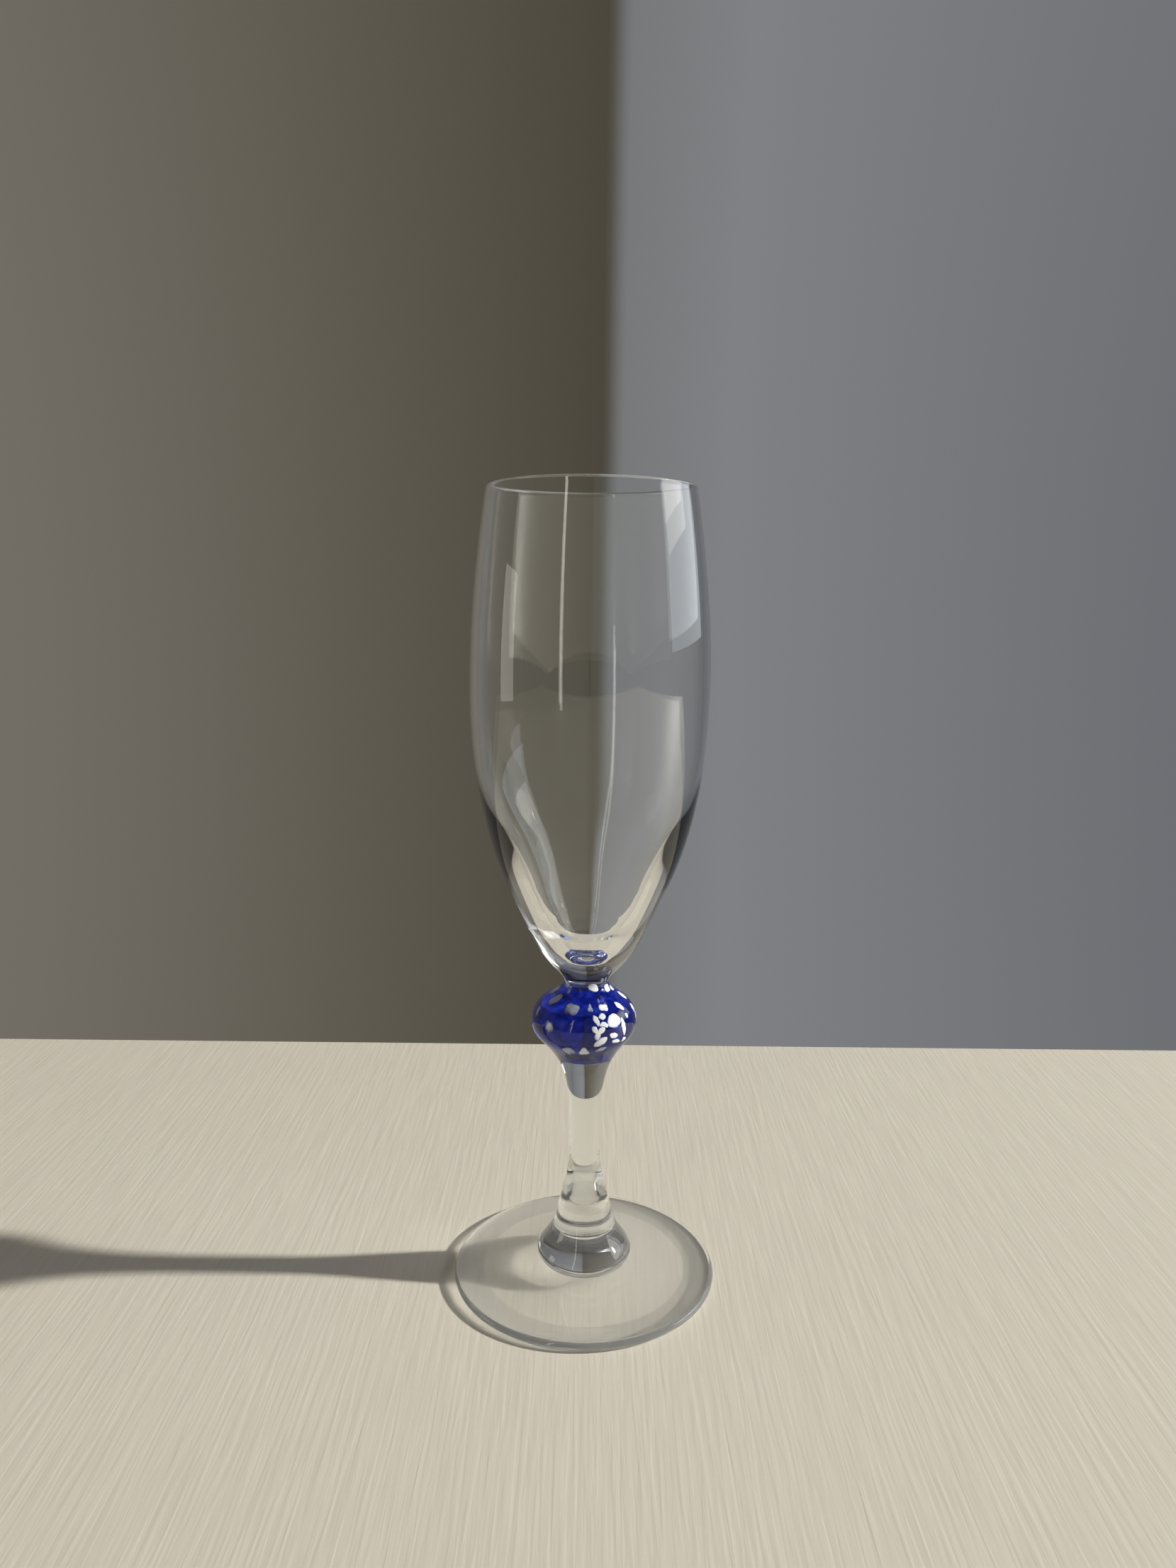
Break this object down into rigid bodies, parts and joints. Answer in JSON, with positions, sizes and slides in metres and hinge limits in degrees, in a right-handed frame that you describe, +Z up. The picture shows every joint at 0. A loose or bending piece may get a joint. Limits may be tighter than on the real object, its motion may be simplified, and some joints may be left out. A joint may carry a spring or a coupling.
{
  "type": "champagne flute",
  "caption": "Clear tulip-shaped champagne flute with a cobalt glass knop flecked with white glass, a drawn waisted stem and a round foot.",
  "frame": {"origin": "centre of the circle that the foot rests on, at table height", "axes": "+Z up along the glass's axis, from the foot to the lip; +X and +Y are level, and -Y faces the side with the large white flecks"},
  "size_m": [0.0676, 0.0676, 0.2],
  "materials": {
    "clear_glass": "clear, colourless and fire-polished, with faint draw lines, a few seeds and light dust inside the bowl",
    "cobalt_glass": "deep cobalt blue transparent glass, glossy, uneven in depth so that it runs from royal blue to near black",
    "white_glass": "opaque white frit melted flush into the cobalt glass, glossy, with softly bluish edges",
    "lilac_glass": "half-melted translucent frit, greyish lilac where the cobalt glass shows through, glossy"
  },
  "bodies": {
    "root": {"bowl": "clear_glass", "knop_core": "clear_glass", "cobalt_casing": "cobalt_glass", "white_fleck_01": "white_glass", "white_fleck_02": "white_glass", "white_fleck_03": "white_glass", "white_fleck_04": "white_glass", "white_fleck_05": "white_glass", "white_fleck_06": "white_glass", "white_fleck_07": "white_glass", "white_fleck_08": "white_glass", "white_fleck_09": "white_glass", "white_fleck_10": "white_glass", "white_fleck_11": "white_glass", "white_fleck_12": "white_glass", "white_fleck_13": "white_glass", "white_fleck_14": "white_glass", "white_fleck_15": "white_glass", "white_fleck_16": "white_glass", "white_fleck_17": "white_glass", "white_fleck_18": "white_glass", "white_fleck_19": "white_glass", "white_fleck_20": "white_glass", "white_fleck_21": "white_glass", "white_fleck_22": "white_glass", "white_fleck_23": "white_glass", "white_fleck_24": "white_glass", "white_fleck_25": "white_glass", "white_fleck_26": "white_glass", "white_fleck_27": "white_glass", "lilac_fleck_01": "lilac_glass", "lilac_fleck_02": "lilac_glass", "lilac_fleck_03": "lilac_glass", "lilac_fleck_04": "lilac_glass", "lilac_fleck_05": "lilac_glass", "lilac_fleck_06": "lilac_glass", "lilac_fleck_07": "lilac_glass", "lilac_fleck_08": "lilac_glass", "lilac_fleck_09": "lilac_glass", "lilac_fleck_10": "lilac_glass", "lilac_fleck_11": "lilac_glass", "lilac_fleck_12": "lilac_glass", "stem": "clear_glass", "foot": "clear_glass"}
  },
  "joints": []
}
